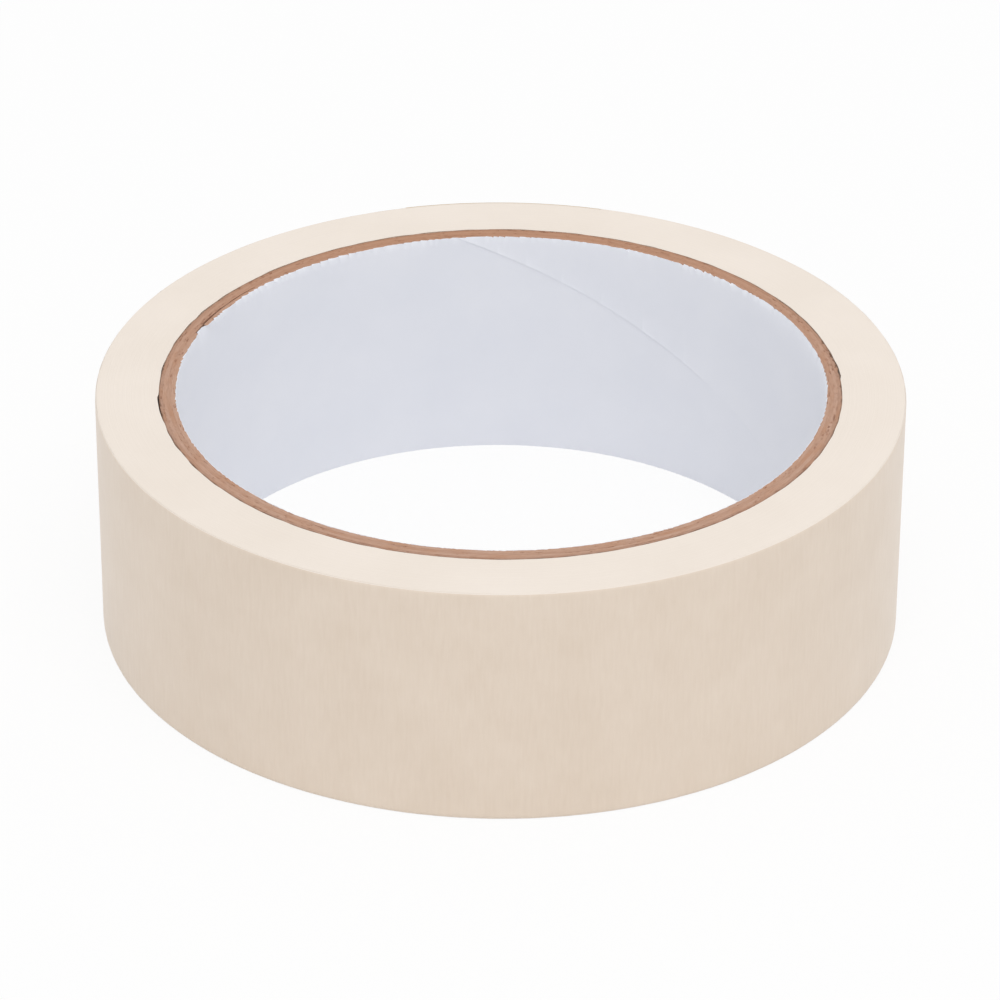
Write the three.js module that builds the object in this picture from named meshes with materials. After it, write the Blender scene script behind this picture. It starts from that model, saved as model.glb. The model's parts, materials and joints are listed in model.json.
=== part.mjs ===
// A roll of masking tape: one long strip of creped paper, wound on a core of spiral-wound paper.
// Lengths are in millimetres and +Z points up. The roll lies on one of its two side faces, and the
// origin is the middle of that face.
import * as THREE from 'three';

// The whole roll. Tape and core are slit together, so both have the same width.
const boreDiameter = 77;
const slitWidth = 30;

// The core: a liner strip that faces the bore and the board plies round it. Every strip winds as a
// right-handed helix with its two edges butted, which leaves one slanted seam in a core this short.
const linerThickness = 0.15;
const plyThickness = 0.45;
const plyCount = 4;
const glueLine = 0.03;
const helixLead = 110;
const buttGap = 0.3;

// Where each strip starts on the lower side face, in degrees from +X towards +Y. Its other end
// stops just short of that again, one turn on.
const linerSeamDegrees = 0;
const innerPlySeamDegrees = 63;
const plyStaggerDegrees = 93;

// The tape. Its free end lies at the back, past the peel line, and can be lifted there.
const tapeThickness = 0.11;
const layerGap = 0.03;
const innerTurnCount = 67;
const peelDegrees = 75;
const leadLength = 25;
const peelGap = 0.3;

// Flats round one full turn
const facetCount = 120;

const fullTurn = 2 * Math.PI;
const facetAngle = fullTurn / facetCount;
const boreRadius = boreDiameter / 2;
const innerPlyRadius = boreRadius + linerThickness + glueLine;
const plyPitch = plyThickness + glueLine;
const windingInnerRadius = innerPlyRadius + plyCount * plyPitch;
const windingOuterRadius = windingInnerRadius + innerTurnCount * tapeThickness;
const tapePitch = tapeThickness + layerGap;
const peelAngle = THREE.MathUtils.degToRad(peelDegrees);
const peelGapAngle = peelGap / windingOuterRadius;
const leadAngle = leadLength / windingOuterRadius;

const tapePaper = { color: 0xe0d0c0, roughness: 0.85, metalness: 0 };
const coreBoard = { color: 0xbf9b84, roughness: 0.9, metalness: 0 };
const linerPaper = { color: 0xdadee6, roughness: 0.6, metalness: 0 };

// Angles from one to the other in equal steps of about one facet, both ends included
function anglesBetween(from, to) {
  const steps = Math.max(1, Math.round((to - from) / facetAngle));
  return Array.from({ length: steps + 1 }, (_, i) => from + (to - from) * i / steps);
}

function cylinderPoint(radius, angle, height) {
  return new THREE.Vector3(radius * Math.cos(angle), radius * Math.sin(angle), height);
}

// The corners of a strip's cross-section, once round from its inner lower one
function sectionCorners({ angle, inner, outer, bottom, top }) {
  return [
    cylinderPoint(inner, angle, bottom),
    cylinderPoint(outer, angle, bottom),
    cylinderPoint(outer, angle, top),
    cylinderPoint(inner, angle, top),
  ];
}

// A curved strip through its cross-sections, which follow each other anticlockwise seen from above.
// An end section without height closes to a line, so a triangle with two equal corners is dropped.
function stripGeometry(sections) {
  const rings = sections.map(sectionCorners);
  const triangles = [];
  const addQuad = (a, b, c, d) => {
    for (const triangle of [[a, b, c], [a, c, d]]) {
      const [p, q, r] = triangle;
      if (!p.equals(q) && !q.equals(r) && !r.equals(p)) triangles.push(...triangle);
    }
  };
  for (let i = 1; i < rings.length; i += 1) {
    rings[i].forEach((_, side) => {
      const nextSide = (side + 1) % rings[i].length;
      addQuad(rings[i - 1][side], rings[i][side], rings[i][nextSide], rings[i - 1][nextSide]);
    });
  }
  addQuad(...rings[0]);
  addQuad(...rings.at(-1).toReversed());
  const geometry = new THREE.BufferGeometry().setFromPoints(triangles);
  geometry.computeVertexNormals();
  return geometry;
}

// One strip of the core. Its ends are slanted along the seam, which crosses the full width.
function coreStripSections(radius, thickness, seamDegrees) {
  const slantAngle = slitWidth / helixLead * fullTurn;
  const start = THREE.MathUtils.degToRad(seamDegrees);
  const end = start + fullTurn - buttGap / radius;
  const heightAlong = (angle, slantStart) =>
    slitWidth * THREE.MathUtils.clamp((angle - slantStart) / slantAngle, 0, 1);
  const angles = [
    ...anglesBetween(start, start + slantAngle),
    ...anglesBetween(start + slantAngle, end).slice(1),
    ...anglesBetween(end, end + slantAngle).slice(1),
  ];
  return angles.map((angle) => ({
    angle,
    inner: radius,
    outer: radius + thickness,
    bottom: heightAlong(angle, end),
    top: heightAlong(angle, start),
  }));
}

// The radius of the inner turns' outside, which grows by one pitch in each turn past the peel line
function spiralRadius(angle) {
  return windingOuterRadius + tapePitch * (angle - peelAngle) / fullTurn;
}

// The inner turns as one plain ring. Its outside is a spiral with one step, at the peel line.
function windingGeometry() {
  const angles = anglesBetween(peelAngle, peelAngle + fullTurn);
  const onPlane = (radius, angle) => new THREE.Vector2(radius * Math.cos(angle), radius * Math.sin(angle));
  const outline = new THREE.Shape(angles.map((angle) => onPlane(spiralRadius(angle), angle)));
  const bore = angles.slice(1).map((angle) => onPlane(windingInnerRadius, angle));
  outline.holes.push(new THREE.Path(bore));
  return new THREE.ExtrudeGeometry(outline, { depth: slitWidth, bevelEnabled: false });
}

// A stretch of the tape that lies on the spiral, between two angles
function tapeSections(from, to) {
  return anglesBetween(from, to).map((angle) => ({
    angle,
    inner: spiralRadius(angle) + layerGap,
    outer: spiralRadius(angle) + tapePitch,
    bottom: 0,
    top: slitWidth,
  }));
}

// The least distance between two corners of a wound strip that lie over half a turn apart along it
function leastGapToItself(sections) {
  const halfTurn = fullTurn / 2;
  let least = Infinity;
  for (const one of sections) {
    for (const other of sections.filter(({ angle }) => angle - one.angle > halfTurn)) {
      for (const corner of sectionCorners(one)) {
        const gaps = sectionCorners(other).map((otherCorner) => corner.distanceTo(otherCorner));
        least = Math.min(least, ...gaps);
      }
    }
  }
  return least;
}

function namedMesh(name, geometry, finish) {
  const mesh = new THREE.Mesh(geometry, new THREE.MeshStandardMaterial(finish));
  mesh.name = name;
  return mesh;
}

function buildCore() {
  const core = new THREE.Group();
  const liner = coreStripSections(boreRadius, linerThickness, linerSeamDegrees);
  core.add(namedMesh('core_liner', stripGeometry(liner), linerPaper));
  for (let i = 0; i < plyCount; i += 1) {
    const radius = innerPlyRadius + i * plyPitch;
    const ply = coreStripSections(radius, plyThickness, innerPlySeamDegrees + i * plyStaggerDegrees);
    core.add(namedMesh(`core_ply_${i + 1}`, stripGeometry(ply), coreBoard));
  }
  return core;
}

function buildTape() {
  const tape = new THREE.Group();
  const turnEnd = peelAngle + fullTurn;
  const outerTurn = tapeSections(peelAngle + peelGapAngle, turnEnd - peelGapAngle);
  const leadEnd = tapeSections(turnEnd, turnEnd + leadAngle);
  tape.add(namedMesh('tape_winding', windingGeometry(), tapePaper));
  tape.add(namedMesh('tape_outer_turn', stripGeometry(outerTurn), tapePaper));
  tape.add(namedMesh('tape_lead_end', stripGeometry(leadEnd), tapePaper));
  console.log(`Least gap of the outer turn to itself: ${leastGapToItself(outerTurn).toFixed(2)} mm`);
  return tape;
}

const roll = new THREE.Group();
roll.add(buildCore(), buildTape());

export default roll;
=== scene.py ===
import json
import math

import bmesh
import bpy
import numpy as np
from mathutils import Matrix, Vector


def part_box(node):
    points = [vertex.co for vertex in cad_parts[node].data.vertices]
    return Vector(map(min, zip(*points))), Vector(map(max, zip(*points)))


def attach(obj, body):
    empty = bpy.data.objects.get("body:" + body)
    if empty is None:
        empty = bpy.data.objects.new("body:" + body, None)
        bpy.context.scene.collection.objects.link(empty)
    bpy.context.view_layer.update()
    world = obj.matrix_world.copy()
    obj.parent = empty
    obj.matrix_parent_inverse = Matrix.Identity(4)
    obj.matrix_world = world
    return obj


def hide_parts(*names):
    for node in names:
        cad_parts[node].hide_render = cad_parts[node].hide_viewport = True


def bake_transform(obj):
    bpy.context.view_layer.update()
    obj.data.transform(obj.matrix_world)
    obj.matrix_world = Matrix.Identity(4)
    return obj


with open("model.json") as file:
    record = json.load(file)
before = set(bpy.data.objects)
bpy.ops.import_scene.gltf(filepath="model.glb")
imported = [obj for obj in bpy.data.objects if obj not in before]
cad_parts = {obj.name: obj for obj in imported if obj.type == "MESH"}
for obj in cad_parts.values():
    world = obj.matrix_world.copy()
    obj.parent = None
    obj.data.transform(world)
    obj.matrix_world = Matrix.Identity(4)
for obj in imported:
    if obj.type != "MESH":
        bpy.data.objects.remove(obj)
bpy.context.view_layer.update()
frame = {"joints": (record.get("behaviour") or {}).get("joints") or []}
mm = 0.001
fullTurn = 2 * math.pi

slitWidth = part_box("tape_winding")[1].z  # tape and core are slit to one width
peelPoint = Vector(frame["joints"][0]["pos_m"])
peelRadius = peelPoint.xy.length
peelAngle = math.atan2(peelPoint.y, peelPoint.x)
bothFaces = ((slitWidth, 1), (0, -1))  # height of each side face, and which way it looks
onFace = 0.01 * mm  # a point this near a side face lies on it
constant = 1000  # mm, the length of a pattern along a direction in which it doesn't change
print("frame loaded")


# Helpers for the meshes

def deselect():
    if bpy.context.object and bpy.context.object.mode != "OBJECT":
        bpy.ops.object.mode_set(mode="OBJECT")
    bpy.ops.object.select_all(action="DESELECT")


def applyModifier(piece, kind, settings):
    bpy.context.view_layer.objects.active = piece
    modifier = piece.modifiers.new(kind, kind)
    for key, value in settings.items():
        setattr(modifier, key, value)
    bpy.ops.object.modifier_apply(modifier=modifier.name)


def splitEdges(piece, isPicked, cuts):  # subdivides the edges that isPicked chooses by their two ends
    bpy.context.view_layer.objects.active = piece
    bpy.ops.object.mode_set(mode="EDIT")
    bpy.ops.mesh.select_mode(type="EDGE")
    bpy.ops.mesh.select_all(action="DESELECT")
    editMesh = bmesh.from_edit_mesh(piece.data)
    for edge in editMesh.edges:
        edge.select_set(isPicked(edge.verts[0].co, edge.verts[1].co))
    bmesh.update_edit_mesh(piece.data)
    bpy.ops.mesh.subdivide(number_cuts=cuts)
    bpy.ops.object.mode_set(mode="OBJECT")


def readArray(items, key, width):
    values = np.empty(len(items) * width)
    items.foreach_get(key, values)
    return values.reshape(-1, width) if width > 1 else values


def readRound(piece):  # radius, angle and height of each point
    points = readArray(piece.data.vertices, "co", 3)
    return np.hypot(points[:, 0], points[:, 1]), np.arctan2(points[:, 1], points[:, 0]), points[:, 2].copy()


def writeRound(piece, radius, angle, height):
    points = np.stack([radius * np.cos(angle), radius * np.sin(angle), height], 1)
    piece.data.vertices.foreach_set("co", points.ravel())
    piece.data.update()


def placeMesh(piece, shift=(0, 0, 0), turn=0):
    deselect()
    piece.select_set(True)
    bpy.context.view_layer.objects.active = piece
    piece.location = shift
    piece.rotation_euler.z = turn
    bpy.ops.object.transform_apply(location=True, rotation=True, scale=True)


def smoothShade(piece, degrees):
    deselect()
    piece.select_set(True)
    bpy.context.view_layer.objects.active = piece
    bpy.ops.object.shade_smooth_by_angle(angle=math.radians(degrees))


noiseSize = (4096, 64)  # random heights each way, after which the noise repeats


def smoothNoise(u, v, seed):  # heights from -1 to 1, with a new random one at each whole number
    table = np.random.default_rng(seed).uniform(-1, 1, noiseSize)
    i, j = np.floor(u).astype(int), np.floor(v).astype(int)
    a, b = u - i, v - j
    a, b = a * a * (3 - 2 * a), b * b * (3 - 2 * b)
    corners = [table[(i + k % 2) % noiseSize[0], (j + k // 2) % noiseSize[1]] for k in range(4)]
    low = corners[0] * (1 - a) + corners[1] * a
    high = corners[2] * (1 - a) + corners[3] * a
    return low * (1 - b) + high * b


def roundNoise(angle, count, seed):  # the same, with this many random heights once round the roll
    table = np.random.default_rng(seed).uniform(-1, 1, count)
    place = np.mod(angle / fullTurn, 1) * count
    i = np.floor(place).astype(int)
    part = place - i
    part = part * part * (3 - 2 * part)
    return table[i % count] * (1 - part) + table[(i + 1) % count] * part


def roundBump(angle, middle, wide):  # 1 at the middle and fading to both sides of it, all in degrees
    return np.exp((np.cos(angle - math.radians(middle)) - 1) / math.radians(wide) ** 2)


# Every core ply and stretch of tape starts as a flat strip, standing on its long edge

def cutStrip(name, length, thickness, shape, finishes, slant=0):
    deselect()
    bpy.ops.mesh.primitive_grid_add(
        x_subdivisions=shape["columns"], y_subdivisions=shape["rows"], size=1,
        location=((length + slant) / 2, 0, slitWidth / 2), rotation=(math.pi / 2, 0, 0))
    strip = bpy.context.object
    strip.name = strip.data.name = name
    strip.scale = (length + slant, slitWidth, 1)
    bpy.ops.object.transform_apply(location=True, rotation=True, scale=True)
    crowdRows(strip)
    if slant:
        slantEnds(strip, length, slant)
    applyModifier(strip, "SOLIDIFY", {"thickness": thickness, "offset": -1})
    if shape["cells"] > 1:
        splitEdges(strip, lambda a, b: abs(a.y - b.y) > thickness / 2, shape["cells"] - 1)
    mapStrip(strip)
    paintStrip(strip, *finishes)
    return strip


def crowdRows(strip):  # draws the rows of faces towards the two long edges
    points = readArray(strip.data.vertices, "co", 3)
    points[:, 2] = slitWidth / 2 * (1 - np.cos(math.pi * points[:, 2] / slitWidth))
    strip.data.vertices.foreach_set("co", points.ravel())


def slantEnds(strip, length, slant):
    bpy.ops.object.mode_set(mode="EDIT")
    for place, isStart in ((0, True), (length, False)):
        bpy.ops.mesh.select_all(action="SELECT")
        bpy.ops.mesh.bisect(plane_co=(place, 0, 0), plane_no=(slitWidth, 0, -slant), threshold=1e-7,
                            clear_inner=isStart, clear_outer=not isStart)  # drops what lies past the cut
    bpy.ops.object.mode_set(mode="OBJECT")


def mapStrip(strip):
    # UV map in metres: along the strip, and its height, or its depth on the cut edges
    mesh = strip.data
    corners = readArray(mesh.loops, "vertex_index", 1).astype(int)
    normals = readArray(mesh.polygons, "normal", 3)
    onEdge = np.repeat(np.abs(normals[:, 2]) > 0.5, readArray(mesh.polygons, "loop_total", 1).astype(int))
    points = readArray(mesh.vertices, "co", 3)
    across = np.where(onEdge, points[corners, 1], points[corners, 2])
    layer = mesh.uv_layers.active
    layer.name = "stripMap"
    layer.data.foreach_set("uv", np.stack([points[corners, 0], across], 1).ravel())
    # Where each point lies in the flat strip, kept for the relief
    mesh.attributes.new("flatPlace", "FLOAT_VECTOR", "POINT").data.foreach_set("vector", points.ravel())


def readFlat(strip):  # along, depth from the outside, and height in the flat strip
    return readArray(strip.data.attributes["flatPlace"].data, "vector", 3).T


def paintStrip(strip, outside, inside, edges):
    for material in (outside, inside, edges):
        strip.data.materials.append(material)
    facing = readArray(strip.data.polygons, "normal", 3)[:, 1]
    picked = np.where(facing < -0.5, 0, np.where(facing > 0.5, 1, 2))
    strip.data.polygons.foreach_set("material_index", picked)


def rollUp(strip, radius, start):  # radius is that of the strip's outside
    sweep = strip.dimensions.x / radius
    applyModifier(strip, "SIMPLE_DEFORM", {"deform_method": "BEND", "deform_axis": "Z", "angle": sweep})
    # The bend leaves the strip's start at the origin, pointing towards +X
    placeMesh(strip, shift=(0, -radius, 0))
    placeMesh(strip, turn=start + math.pi / 2)


# Helpers for the materials

def linearColour(hexText):
    parts = [int(hexText[i:i + 2], 16) / 255 for i in (1, 3, 5)]
    return [c / 12.92 if c <= 0.04045 else ((c + 0.055) / 1.055) ** 2.4 for c in parts] + [1]


def addNode(tree, kind, settings=None, links=None):
    node = tree.nodes.new("ShaderNode" + kind)
    for key, value in (settings or {}).items():
        if isinstance(key, int) or key in node.inputs:
            node.inputs[key].default_value = value
        else:
            setattr(node, key, value)
    for key, socket in (links or {}).items():
        tree.links.new(socket, node.inputs[key])
    return node


def startMaterial(name):
    material = bpy.data.materials.new(name)
    material.use_nodes = True
    material.node_tree.nodes.clear()
    return material, material.node_tree


def closeMaterial(tree, look, colour, height, settings=None):
    bump = addNode(tree, "Bump", {"Strength": look["bump"], "Distance": look["bumpDepth"] * mm},
                   {"Height": height})
    shader = addNode(tree, "BsdfPrincipled", {"Roughness": look["roughness"], **(settings or {})},
                     {"Base Color": colour, "Normal": bump.outputs[0]})
    addNode(tree, "OutputMaterial", None, {"Surface": shader.outputs["BSDF"]})


def perMm(*lengths):  # noise scale for features of these lengths
    return tuple(1 / (length * mm) for length in lengths)


def stripPlace(tree):  # along the strip, and across it
    return addNode(tree, "UVMap", {"uv_map": "stripMap"}).outputs["UV"]


def stripNoise(tree, along, across, settings, shift=(0, 0, 0)):  # with features of these lengths in mm
    place = addNode(tree, "Mapping", {"Scale": perMm(along, across, constant), "Location": shift},
                    {"Vector": stripPlace(tree)})
    noise = addNode(tree, "TexNoise", {"Scale": 1, **settings}, {"Vector": place.outputs[0]})
    return noise.outputs["Fac"]


def spreadOut(tree, value, low, high):  # these two values become 0 and 1
    return addNode(tree, "MapRange", {"From Min": low, "From Max": high}, {"Value": value}).outputs[0]


def toneBetween(tree, deep, pale, share):
    tones = {"data_type": "RGBA", 6: linearColour(deep), 7: linearColour(pale)}
    return addNode(tree, "Mix", tones, {"Factor": share}).outputs[2]


crepeLook = {
    "pale": "#e9daca",
    "deep": "#dfcebc",
    "crease": (0.42, 3.5),  # mm along the tape and across it
    "patch": 8,  # mm, cloudy patches of pulp
    "creaseShare": 0.45,  # of the colour's variation, the rest is patches
    "roughness": 0.52,
    "sheen": 0.22,
    "bump": 0.5,
    "bumpDepth": 0.02,  # mm
}


def crepedPaper():
    # Saturated creped paper with a satin release coat: beige, cloudy pulp and fine wrinkles across
    material, tree = startMaterial("crepedMaskingPaper")
    look = crepeLook
    crease = stripNoise(tree, *look["crease"], {"Detail": 3, "Roughness": 0.6})
    patch = stripNoise(tree, look["patch"], look["patch"], {"Detail": 4, "Roughness": 0.55})
    share = addNode(tree, "Mix", {"Factor": look["creaseShare"]}, {2: patch, 3: crease})
    spread = spreadOut(tree, share.outputs[0], 0.25, 0.75)
    tone = toneBetween(tree, look["deep"], look["pale"], spread)
    closeMaterial(tree, look, tone, crease, {"Sheen Weight": look["sheen"]})
    return material


edgeLook = {
    "pale": "#f1e7dd",
    "deep": "#e7dcd0",
    "turn": 0.11,  # mm, one layer of tape
    "patch": 14,  # mm
    "turnShare": 0.55,  # of the colour's variation, the rest is patches
    "roughness": 0.65,
    "bump": 0.4,
    "bumpDepth": 0.015,  # mm
}


def slitTapeEdges():
    # The slit edges of many layers of paper and adhesive: pale cream, with faint turns round the axis
    material, tree = startMaterial("slitTapeEdges")
    look = edgeLook
    place = addNode(tree, "TexCoord").outputs["Object"]
    flat = addNode(tree, "VectorMath", {"operation": "MULTIPLY", 1: (1, 1, 0)}, {0: place})
    radius = addNode(tree, "VectorMath", {"operation": "LENGTH"}, {0: flat.outputs[0]})
    turnCount = addNode(tree, "Math", {"operation": "DIVIDE", 1: look["turn"] * mm},
                        {0: radius.outputs["Value"]})
    turns = addNode(tree, "TexNoise", {"noise_dimensions": "1D", "Scale": 0.9, "Detail": 5,
                                       "Roughness": 0.7}, {"W": turnCount.outputs[0]}).outputs["Fac"]
    patch = addNode(tree, "TexNoise", {"Scale": 1 / (look["patch"] * mm), "Detail": 3}, {"Vector": place})
    share = addNode(tree, "Mix", {"Factor": look["turnShare"]}, {2: patch.outputs["Fac"], 3: turns})
    spread = spreadOut(tree, share.outputs[0], 0.3, 0.7)
    tone = toneBetween(tree, look["deep"], look["pale"], spread)
    closeMaterial(tree, look, tone, turns, {"Specular IOR Level": 0.35})
    return material


adhesiveLook = {
    "pale": "#ecdfc6",
    "deep": "#dfcfae",
    "patch": 3,  # mm
    "roughness": 0.38,
    "bump": 0.4,
    "bumpDepth": 0.02,  # mm
}


def rubberAdhesive():
    # Rubber adhesive coated on crepe: yellower than the paper, with a low wet sheen
    material, tree = startMaterial("rubberAdhesiveCoat")
    look = adhesiveLook
    patch = stripNoise(tree, look["patch"], look["patch"], {"Detail": 4})
    closeMaterial(tree, look, toneBetween(tree, look["deep"], look["pale"], patch), patch)
    return material


boardLook = {
    # Pale and deep tone of each ply, from the bore out
    "tones": [("#caa793", "#b28d78"), ("#c49f8a", "#ac8772"),
              ("#c9a692", "#b18c77"), ("#c19d89", "#a37f6b")],
    "orange": "#b17d5a",
    "backShade": 0.5,  # share of the orange at the back of the core: the board turns darker and more orange towards the back
    # Painted shade along the gap between core and tape: its colour, its width from the outside and its
    # patch size
    "gapShade": "#584535",
    "gapShadeWide": 0.2,  # mm from the outside
    "gapShadePatch": 1.6,  # mm
    "fibre": (1.4, 0.12),  # mm along the strip and across it
    "patch": 6,  # mm
    "roughness": 0.85,
    "bump": 0.5,
    "bumpDepth": 0.05,  # mm
}


def coreBoard(number):
    # Recycled core board, slit with a round knife: brown, with torn fibres that run along the strip
    material, tree = startMaterial(f"recycledCoreBoard{number}")
    look = boardLook
    pale, deep = look["tones"][number - 1]
    fibres = stripNoise(tree, *look["fibre"], {"Detail": 5, "Roughness": 0.7}, (0, 0, number))
    patch = stripNoise(tree, look["patch"], look["patch"], {"Detail": 3}, (number, 0, 0))
    tone = toneBetween(tree, deep, pale, spreadOut(tree, fibres, 0.3, 0.7))
    warm = addNode(tree, "MapRange", {"From Min": 0.45, "From Max": 0.75, "To Max": 0.6},
                   {"Value": patch})
    place = addNode(tree, "SeparateXYZ", None, {"Vector": addNode(tree, "TexCoord").outputs["Object"]})
    back = addNode(tree, "MapRange", {"From Max": coreShape["boreRadius"], "To Max": look["backShade"]},
                   {"Value": place.outputs["Y"]})
    orangeShare = addNode(tree, "Math", {"operation": "MAXIMUM"}, {0: warm.outputs[0], 1: back.outputs[0]})
    mixed = addNode(tree, "Mix", {"data_type": "RGBA", 7: linearColour(look["orange"])},
                    {"Factor": orangeShare.outputs[0], 6: tone})
    if number == len(look["tones"]):  # painted shade darkens the line where core and tape meet, in patches along the gap between them
        across = addNode(tree, "SeparateXYZ", None, {"Vector": stripPlace(tree)})
        nearTape = addNode(tree, "MapRange", {"From Max": look["gapShadeWide"] * mm, "To Min": 1, "To Max": 0},
                           {"Value": across.outputs["Y"]})
        gapShadeNoise = stripNoise(tree, look["gapShadePatch"], constant, {"Detail": 4})
        patches = addNode(tree, "MapRange", {"From Min": 0.36, "From Max": 0.58, "To Max": 0.9},
                          {"Value": gapShadeNoise})
        gapShadeShare = addNode(tree, "Math", {"operation": "MULTIPLY"},
                        {0: nearTape.outputs[0], 1: patches.outputs[0]})
        mixed = addNode(tree, "Mix", {"data_type": "RGBA", 7: linearColour(look["gapShade"])},
                        {"Factor": gapShadeShare.outputs[0], 6: mixed.outputs[2]})
    closeMaterial(tree, look, mixed.outputs[2], fibres, {"Specular IOR Level": 0.2})
    return material


linerLook = {
    "pale": "#f0f1f6",
    "deep": "#e8eaf1",
    "patch": 9,  # mm
    "fibre": 0.5,  # mm
    "roughness": 0.5,
    "bump": 0.3,
    "bumpDepth": 0.01,  # mm
}


def linerPaper():
    # Bleached machine-glazed paper: bluish white and smooth, with a faint cloudy formation
    material, tree = startMaterial("bleachedGlazedPaper")
    look = linerLook
    patch = stripNoise(tree, look["patch"], look["patch"], {"Detail": 5})
    fibres = stripNoise(tree, look["fibre"], look["fibre"], {"Detail": 4})
    tone = toneBetween(tree, look["deep"], look["pale"], patch)
    closeMaterial(tree, look, tone, fibres, {"Specular IOR Level": 0.4})
    return material


# The core. Angles go from the right towards the back, as seen from above.

coreShape = {
    "boreRadius": 38.5 * mm,
    "linerThickness": 0.15 * mm,
    "plyThickness": 0.45 * mm,
    "glueLine": 0.03 * mm,
    "helixLead": 110 * mm,
}
plyPitch = coreShape["plyThickness"] + coreShape["glueLine"]
seamLean = fullTurn * slitWidth / coreShape["helixLead"]  # how far a seam turns across the width
looseEnd = {  # the innermost ply's far end has come loose at the upper face
    "reach": math.radians(17),
    "lean": 0.14 * mm,
    "deep": 6 * mm,
    "worn": 0.2 * mm,  # how far the corner of the ply behind it is worn back
}
tornRim = {  # the slitting knife has left teeth round the bore's edges
    "tooth": 1.3 * mm,
    "sway": 1.1,  # how far a tooth may slide along the rim, in teeth
    "uneven": 0.4,  # how much the teeth differ in height
    "fuzz": 0.12,  # share of a tooth's height
    "bite": 0.07 * mm,  # how deep the liner is torn
    "wear": 0.42 * mm,  # how far the liner and the board under it are pushed outwards
    "wearDeep": 0.5 * mm,
    "roughest": (40, 138),  # degrees
    "roughWide": 34,
    "calm": 0.25,  # share of the roughness elsewhere
    "below": 0.15,  # share of it on the lower face
    "most": 0.9,  # share of the inner ply's thickness that the wear may take
}
flare = {  # where the bore's upper edge has been knocked wider: degrees, how wide and how far
    "dents": [(27, 7, 0.2 * mm), (9, 15, 0.3 * mm), (159.4, 1.2, 0.44 * mm)],
    "deep": 3 * mm,
}


def looseLean(beforeEnd, height):  # how far the loose ply leans in, by the angle left to its end
    share = np.clip(1 - beforeEnd / looseEnd["reach"], 0, 1)
    nearTop = np.clip(1 - (slitWidth - height) / looseEnd["deep"], 0, 1)
    return looseEnd["lean"] * share ** 0.6 * nearTop ** 2


def rimTeeth(angle, sign):  # a ragged saw edge, from 0 to 1
    count = round(fullTurn * coreShape["boreRadius"] / tornRim["tooth"])
    place = angle / fullTurn * count + tornRim["sway"] * roundNoise(angle, count // 2, 70 + sign)
    tall = 1 - tornRim["uneven"] + tornRim["uneven"] * roundNoise(angle, count // 2, 73 + sign)
    teeth = tall * np.mod(place, 1) + tornRim["fuzz"] * roundNoise(angle, 4 * count, 76 + sign)
    rough = sum(roundBump(angle, middle, tornRim["roughWide"]) for middle in tornRim["roughest"])
    deep = tornRim["calm"] + (1 - tornRim["calm"]) * rough.clip(0, 1)
    return teeth.clip(0, 1) * deep * (1 if sign == 1 else tornRim["below"])


def wornEdge(angle, height):  # how far the bore's edges are pushed outwards
    nearTop = np.clip(1 - (slitWidth - height) / flare["deep"], 0, 1)
    worn = sum(far * roundBump(angle, middle, wide) for middle, wide, far in flare["dents"]) * nearTop ** 2
    for end, sign in bothFaces:
        nearEnd = np.clip(1 - np.abs(height - end) / tornRim["wearDeep"], 0, 1)
        worn += tornRim["wear"] * rimTeeth(angle, sign) * nearEnd ** 2
    return np.minimum(worn, tornRim["most"] * plyPitch)


borePlyGrid = {"columns": 1872, "rows": 17, "cells": 8}
plyGrid = {"columns": 1872, "rows": 6, "cells": 4}
plyShape = {
    "seams": [63, 156, 249, 342],  # degrees where each strip starts on the lower face
    "seamGaps": [2.4 * mm, 0.12 * mm, 0.12 * mm, 0.12 * mm],
    "clearance": 0.004 * mm,  # between one ply and the next
    "rounding": 0.02 * mm,  # how much lower the corners of the cut edge are
    "wave": 0.05 * mm,
    "waveLength": 6 * mm,
    "pit": 0.22 * mm,
    "fibreLength": 0.45 * mm,
    "wander": [0.02 * mm, 0.02 * mm, 0.02 * mm, 0.02 * mm, 0.06 * mm],  # of the lines, from the bore out
    "burr": 0.1 * mm,  # how far the bore edge leans in over the liner's thin rim
    # Nicks in the upper edge: degrees, radius, length, width and depth
    "nicks": [
        (15.8, 40.35 * mm, 0.2 * mm, 0.12 * mm, 0.4 * mm),
        (10, 39.72 * mm, 0.3 * mm, 0.1 * mm, 0.3 * mm),
        (357.8, 39.63 * mm, 0.4 * mm, 0.12 * mm, 0.25 * mm),
        (346, 39.8 * mm, 0.15 * mm, 0.1 * mm, 0.3 * mm),
        (176.9, 39.4 * mm, 0.5 * mm, 0.1 * mm, 0.25 * mm),
        (188, 38.9 * mm, 0.3 * mm, 0.1 * mm, 0.4 * mm),
        (159.2, 39.62 * mm, 0.2 * mm, 0.1 * mm, 0.4 * mm),
    ],
}


def lineWander(angle, line, sign):  # of the line outside this ply, which both its neighbours follow
    slow = roundNoise(angle, 120, 200 + 10 * line + sign)
    fine = roundNoise(angle, 560, 205 + 10 * line + sign)
    return plyShape["wander"][line] * (0.6 * slow + 0.4 * fine)


def nickDepth(radius, angle):
    depth = np.zeros(len(radius))
    for degrees, middle, length, width, deep in plyShape["nicks"]:
        away = np.mod(angle - math.radians(degrees) + math.pi, fullTurn) - math.pi
        depth += deep * np.exp(-(away * middle / length) ** 2 - ((radius - middle) / width) ** 2)
    return depth


def cornerWear(angle):  # of the second ply, where the loose end of the first leaves it bare
    openSeam = plyShape["seamGaps"][0] / coreShape["boreRadius"]
    beforeEnd = math.radians(plyShape["seams"][0]) + seamLean - openSeam - angle
    share = np.clip(1 - beforeEnd / looseEnd["reach"], 0, 1) * (beforeEnd > 0)
    return looseEnd["worn"] * share ** 0.5 * (0.75 + 0.5 * roundNoise(angle, 200, 47)).clip(0, 1)


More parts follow.
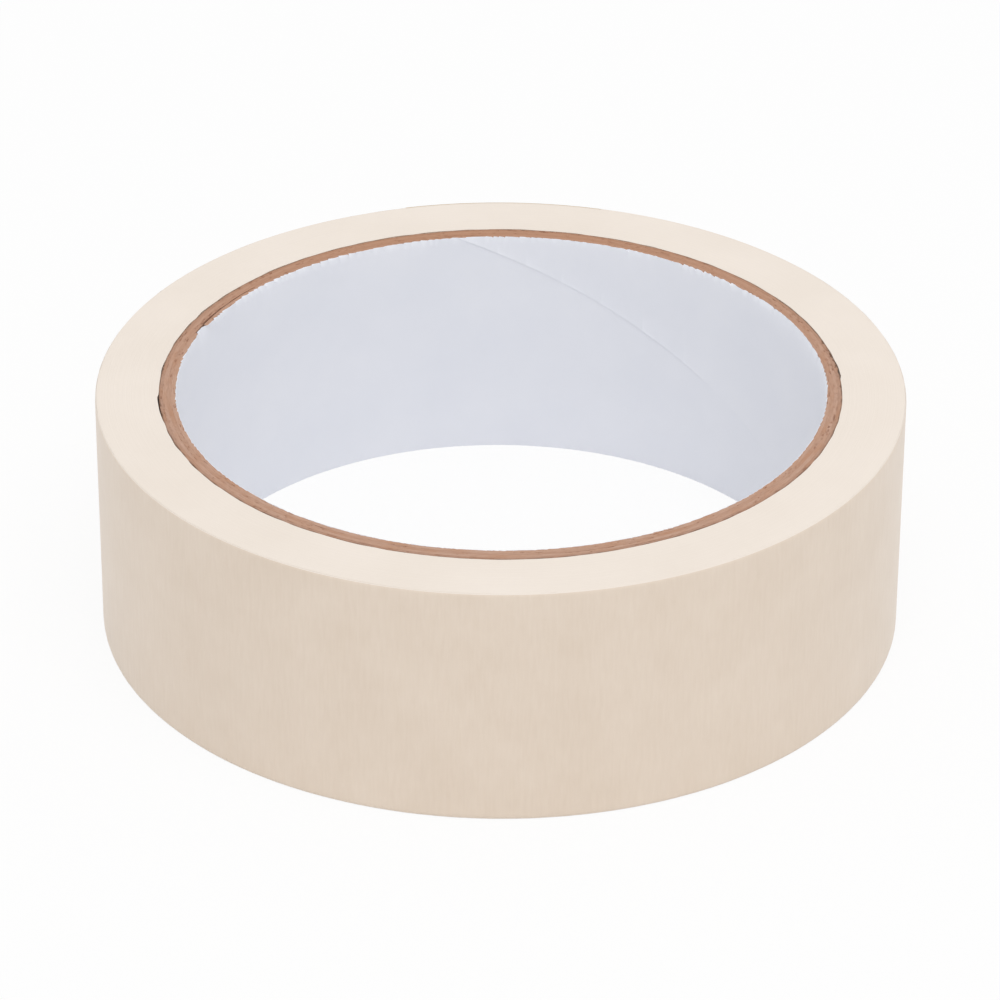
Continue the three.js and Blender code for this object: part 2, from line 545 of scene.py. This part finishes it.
def makePly(number):
    shape = plyShape
    inner = coreShape["boreRadius"] + coreShape["linerThickness"] + coreShape["glueLine"]
    inner += (number - 1) * plyPitch
    thickness = plyPitch - shape["clearance"]  # the glue fills its line
    outer = inner + thickness
    length = fullTurn * outer - shape["seamGaps"][number - 1]
    slant = seamLean * outer
    grid = borePlyGrid if number == 1 else plyGrid
    ply = cutStrip(f"corePly{number}", length, thickness, grid, [coreBoard(number)] * 3, slant)
    rollUp(ply, outer, math.radians(shape["seams"][number - 1]))
    radius, angle, height = readRound(ply)
    along, depth, _ = readFlat(ply)
    share = depth / thickness
    corner = np.abs(2 * share - 1) ** 4
    if number == 1:
        radius -= looseLean((length + slant * height / slitWidth - along) / outer, height)
        radius += wornEdge(angle, height) * share ** 2
    for end, sign in bothFaces:
        isEnd = np.abs(height - end) < onFace
        fine = smoothNoise(along / shape["fibreLength"], share * 4, 20 * number + sign)
        slow = smoothNoise(along / shape["waveLength"], share * 2, 20 * number + 7 + sign)
        sink = shape["rounding"] * corner + shape["wave"] * (0.35 * (fine + 1) + 0.65 * (slow + 1)) / 2
        hollow = shape["pit"] * np.clip(3 * (fine + 0.3 * slow) - 2.2, 0, 1)
        if sign == 1:
            hollow += nickDepth(radius, angle)
        height -= sign * isEnd * (sink + hollow * (1 - 0.6 * corner))
        outerLine, innerLine = lineWander(angle, number, sign), lineWander(angle, number - 1, sign)
        if number == 1:
            innerLine = innerLine - shape["burr"]
        if number == 2 and sign == 1:
            innerLine = innerLine + cornerWear(angle)
        radius += isEnd * (outerLine * (1 - share) ** 2 + innerLine * share ** 2)
    writeRound(ply, radius, angle, height)
    smoothShade(ply, 40)
    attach(ply, "roll")
    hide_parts(f"core_ply_{number}")


linerGrid = {"columns": 1872, "rows": 17, "cells": 1}
linerShape = {
    "seam": 0,  # degrees
    "seamGap": 0.03 * mm,
    "rimThickness": 0.05 * mm,  # the knife has crushed the paper thin at its cut edge
    "fray": 0.03 * mm,
    "bendLength": 1.2 * mm,  # how far below a torn edge the rows of faces still follow it
    "edgeLift": 0.12 * mm,  # one edge of the strip stands a little proud at the seam, in stretches
    "edgeLiftWide": 0.45 * mm,
    "proudest": [(86, 6), (58, 7)],  # degrees and how wide
}


def seamLift(angle, height):  # share of the lift, all of it in the upper half of the seam
    proud = sum(roundBump(angle, middle, wide) for middle, wide in linerShape["proudest"])
    patchy = 0.5 + 0.4 * proud + 0.1 * roundNoise(angle, 60, 82)
    return patchy * np.clip((height - 0.4 * slitWidth) / (0.1 * slitWidth), 0.06, 1)


def makeLiner():
    shape = linerShape
    thickness = coreShape["linerThickness"]
    outer = coreShape["boreRadius"] + thickness + coreShape["glueLine"] / 2
    length = fullTurn * outer - shape["seamGap"]
    slant = seamLean * outer
    paper = linerPaper()
    liner = cutStrip("coreLiner", length, thickness, linerGrid, [paper] * 3, slant)
    rollUp(liner, outer, math.radians(shape["seam"]))
    radius, angle, height = readRound(liner)
    along, depth, _ = readFlat(liner)
    openSeam = plyShape["seamGaps"][0] / outer
    plySeam = math.radians(plyShape["seams"][0]) + seamLean * height / slitWidth
    radius -= looseLean(np.mod(plySeam - openSeam - angle, fullTurn), height)
    radius += wornEdge(angle, height)
    beforeEnd = length + slant * height / slitWidth - along
    radius -= shape["edgeLift"] * seamLift(angle, height) * np.exp(-beforeEnd / shape["edgeLiftWide"])
    crush = (thickness - shape["rimThickness"]) * (depth < thickness / 2)
    for end, sign in bothFaces:
        fromEnd = np.abs(height - end)
        isEnd = fromEnd < onFace
        fray = shape["fray"] * (1 + sign * 0.7) * (1 + roundNoise(angle, 600, 84 + sign)) / 2
        torn = fray + tornRim["bite"] * rimTeeth(angle, sign)
        height -= sign * torn * np.clip(1 - fromEnd / shape["bendLength"], 0, 1)
        radius -= crush * isEnd
    writeRound(liner, radius, angle, height)
    smoothShade(liner, 40)
    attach(liner, "roll")
    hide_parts("core_liner")


# The tape

tapeShape = {
    "thickness": 0.13 * mm,
    "pitch": 0.14 * mm,  # how much the spiral grows in one turn
    "crepeHeight": 0.018 * mm,
    "crepeWide": 0.45 * mm,
    "crepeLong": 4 * mm,
    "edgeWander": 0.03 * mm,
    "wanderLength": 12 * mm,
}
rimShape = {  # slitting and handling have rounded the roll's outer rims
    "drop": 0.14 * mm,  # how far the last turn's edge lies inside the side face
    "reach": 0.5 * mm,  # how far inwards the rounding starts
    "dropHigh": 0.2 * mm,  # how fast that fades along the strip's height
    "pull": 0.06 * mm,  # how far the corner of the edge lies inside the wall
    "pullHigh": 0.12 * mm,
}
turnShape = {
    "columns": 1600,
    "rows": 24,
    "cells": 1,
    "endGap": 0.002 * mm,  # to the free end, which goes on where this turn ends
}
leadShape = {
    "columns": 134,
    "rows": 24,
    "cells": 1,
    "length": 25 * mm,
    "curl": 4 * mm,  # mm, the stretch past the peel line
}
windingShape = {
    "innerRadius": 40.6 * mm,
    "outerRadius": peelRadius - 2 * tapeShape["pitch"],
    "turns": 67,
    "facets": 360,
    # Where the first turn stands off the core, most at the first angle: degrees, degrees and gap
    "slits": [(3, 12, 0.16 * mm), (184, 192, 0.12 * mm), (172, 177, 0.08 * mm)],
    "groove": 0.06 * mm,  # the usual gap between core and tape
    "grooveWidest": (150, 60),  # degrees, where it is and how far it reaches
    "step": 0.1 * mm,  # how far before the peel line the spiral's step stands
}


def spiralRise(angle):  # how far the spiral has grown at an angle past the peel line
    return tapeShape["pitch"] * angle / fullTurn


def rimDrop(inside):  # by the distance inwards from the outside of the last turn
    rise = np.clip(1 - inside / rimShape["reach"], 0, 1)
    return rimShape["drop"] * (1 - np.sqrt(1 - rise ** 2))


def makeWinding(face, edges):
    shape = windingShape
    inner, outer = shape["innerRadius"], shape["outerRadius"]
    deselect()
    # A cone without height or caps is a flat ring, here one that looks up
    bpy.ops.mesh.primitive_cone_add(vertices=shape["facets"], radius1=outer, radius2=inner, depth=0,
                                    end_fill_type="NOTHING", location=(0, 0, slitWidth))
    winding = bpy.context.object
    winding.name = winding.data.name = "tapeWinding"
    splitEdges(winding, lambda a, b: abs(a.length - b.length) > mm, shape["turns"] - 1)
    bpy.ops.object.transform_apply(location=True, rotation=True, scale=True)
    applyModifier(winding, "SOLIDIFY", {"thickness": slitWidth, "offset": -1})
    placeMesh(winding, turn=peelAngle)

    mesh = winding.data
    mesh.materials.append(face)
    mesh.materials.append(edges)
    facing = np.abs(readArray(mesh.polygons, "normal", 3)[:, 2])
    mesh.polygons.foreach_set("material_index", (facing > 0.5).astype(int))

    radius, angle, height = readRound(winding)
    share = (radius - inner) / (outer - inner)
    turn = share * shape["turns"]
    halfStep = fullTurn / shape["facets"] / 2
    pastPeel = np.mod(angle - peelAngle + halfStep, fullTurn) - halfStep
    # The last column moves up to the peel line, so that the spiral's step there is upright
    isLast = pastPeel > fullTurn - 3 * halfStep
    pastPeel = np.where(isLast, fullTurn - shape["step"] / outer, pastPeel)
    radius += spiralRise(pastPeel) * share
    around = np.degrees(angle) % 360
    standOff = shape["groove"] * (0.6 + roundNoise(angle, 150, 44)).clip(0, 2)
    standOff *= 0.5 + 1.3 * roundBump(angle, *shape["grooveWidest"])
    for start, end, gap in shape["slits"]:
        standOff += gap * (end - around) / (end - start) * ((around > start) & (around < end))
    radius += standOff * np.exp(-6 * share) * (1 - share)
    # Each turn's edge stands a little higher or lower than the next, and slowly wanders
    rounding = rimDrop((1 - share) * (outer - inner) + tapeShape["pitch"])
    for end, sign in bothFaces:
        wander = smoothNoise(turn, 5 + 3 * np.cos(angle), 31 + sign)
        wander += smoothNoise(turn / 9 + 2 * np.cos(angle), 9 + 2 * np.sin(angle), 36 + sign)
        sink = tapeShape["edgeWander"] * (wander + 2) / 4 + rounding
        height -= sign * (np.abs(height - end) < mm) * sink
    writeRound(winding, radius, peelAngle + pastPeel, height)
    smoothShade(winding, 40)
    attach(winding, "roll")
    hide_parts("tape_winding")


def makeTapeStrip(name, firstAngle, length, shape, finishes):
    # A stretch of tape on the spiral, which starts at firstAngle past the peel line
    thickness = tapeShape["thickness"]
    outer = windingShape["outerRadius"] + tapeShape["pitch"]
    strip = cutStrip(name, length, thickness, shape, finishes)
    rollUp(strip, outer, peelAngle + firstAngle)
    radius, angle, height = readRound(strip)
    along, depth, _ = readFlat(strip)
    pastPeel = firstAngle + along / outer
    along = outer * pastPeel
    fine = smoothNoise(along / tapeShape["crepeWide"], height / tapeShape["crepeLong"], 51)
    broad = smoothNoise(along / (3 * tapeShape["crepeWide"]), height / (2 * tapeShape["crepeLong"]), 52)
    radius += spiralRise(pastPeel) + tapeShape["crepeHeight"] * (0.6 * fine + 0.4 * broad)
    wander = smoothNoise(along / tapeShape["wanderLength"], along * 0, 61)
    wander = (wander + 1) / 2 * tapeShape["edgeWander"]
    fromEdge = np.minimum(height, slitWidth - height)
    drop = (rimDrop(depth) + wander) * np.exp(-fromEdge / rimShape["dropHigh"])
    height += np.where(height < slitWidth / 2, drop, -drop)
    radius -= rimShape["pull"] * np.exp(-fromEdge / rimShape["pullHigh"]) * (1 - depth / thickness)
    writeRound(strip, radius, peelAngle + pastPeel, height)
    layer = strip.data.uv_layers["stripMap"]
    places = readArray(layer.data, "uv", 2)
    places[:, 0] += outer * firstAngle
    layer.data.foreach_set("uv", places.ravel())
    smoothShade(strip, 50)
    return strip


def makeTape():
    face, edges = crepedPaper(), slitTapeEdges()
    finishes = (face, rubberAdhesive(), edges)
    makeWinding(face, edges)
    turnLength = fullTurn * (windingShape["outerRadius"] + tapeShape["pitch"]) - turnShape["endGap"]
    outerTurn = makeTapeStrip("tapeOuterTurn", 0, turnLength, turnShape, finishes)
    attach(outerTurn, "roll")
    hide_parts("tape_outer_turn")
    leadEnd = makeTapeStrip("tapeLeadEnd", fullTurn, leadShape["length"], leadShape, finishes)
    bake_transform(leadEnd)
    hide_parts("tape_lead_end")


for plyNumber in (1, 2, 3, 4):
    makePly(plyNumber)
makeLiner()
print("core made")
makeTape()
print("tape made")


# The camera, from the photograph's perspective

cameraView = {
    "focalPixels": 5240,
    "imagePixels": 1000,
    "sensor": 36,  # mm
    "distance": 631.1 * mm,
    "elevation": 30.03,  # degrees
    "roll": 0.27,  # degrees
    "centreHeight": 15 * mm,
    "aimHeight": 14.18 * mm,
}


def makeCamera():
    view = cameraView
    elevation = math.radians(view["elevation"])
    place = Vector((0, -math.cos(elevation), math.sin(elevation))) * view["distance"]
    place.z += view["centreHeight"]
    aim = Vector((0, 0, view["aimHeight"])) - place
    turn = aim.to_track_quat("-Z", "Y").to_matrix() @ Matrix.Rotation(math.radians(view["roll"]), 3, "Z")
    bpy.ops.object.camera_add(location=place, rotation=turn.to_euler())
    camera = bpy.context.object
    camera.data.sensor_width = view["sensor"]
    camera.data.lens = view["focalPixels"] / view["imagePixels"] * view["sensor"]
    bpy.context.scene.camera = camera


studio = {
    "skyLight": 0.79,
    "keyPower": 4.0,  # W
    "keySize": 0.9,
    "keyPlace": (0.12, -0.42, 1.1),
    "floorSize": 6,
    "floorColour": "#f2f2f2",
    "floorLift": 0.88,  # share of plain white that the camera sees on the floor
}


def cameraWhite(tree):  # 1 for rays that show the background itself
    path = addNode(tree, "LightPath")
    seen = path.outputs["Is Camera Ray"]
    for other in ("Is Glossy Ray", "Is Transmission Ray"):
        seen = addNode(tree, "Math", {"operation": "MAXIMUM"}, {0: seen, 1: path.outputs[other]}).outputs[0]
    return seen


def makeStudio():
    world = bpy.data.worlds.new("studioSky")
    bpy.context.scene.world = world
    world.use_nodes = True
    tree = world.node_tree
    tree.nodes.clear()
    sky = addNode(tree, "Background", {"Color": (1, 1, 1, 1), "Strength": studio["skyLight"]})
    white = addNode(tree, "Background", {"Color": (1, 1, 1, 1), "Strength": 1})
    shown = addNode(tree, "MixShader", None, {0: cameraWhite(tree), 1: sky.outputs[0], 2: white.outputs[0]})
    addNode(tree, "OutputWorld", None, {"Surface": shown.outputs[0]})

    deselect()
    bpy.ops.mesh.primitive_plane_add(size=studio["floorSize"])
    floor = bpy.context.object
    floor.name = "studioFloor"
    material, tree = startMaterial("paleStudioFloor")
    paint = addNode(tree, "BsdfDiffuse", {"Color": linearColour(studio["floorColour"])})
    glow = addNode(tree, "Emission", {"Color": (1, 1, 1, 1), "Strength": 1})
    lift = addNode(tree, "Math", {"operation": "MULTIPLY", 1: studio["floorLift"]}, {0: cameraWhite(tree)})
    mixed = addNode(tree, "MixShader", None, {0: lift.outputs[0], 1: paint.outputs[0], 2: glow.outputs[0]})
    addNode(tree, "OutputMaterial", None, {"Surface": mixed.outputs[0]})
    floor.data.materials.append(material)

    bpy.ops.object.light_add(type="AREA", location=studio["keyPlace"])
    key = bpy.context.object
    key.data.shape = "DISK"
    key.data.size = studio["keySize"]
    key.data.energy = studio["keyPower"]
    key.rotation_euler = (-Vector(studio["keyPlace"])).to_track_quat("-Z", "Y").to_euler()


makeCamera()
makeStudio()
bpy.context.scene.view_settings.view_transform = "Standard"
print("studio made")
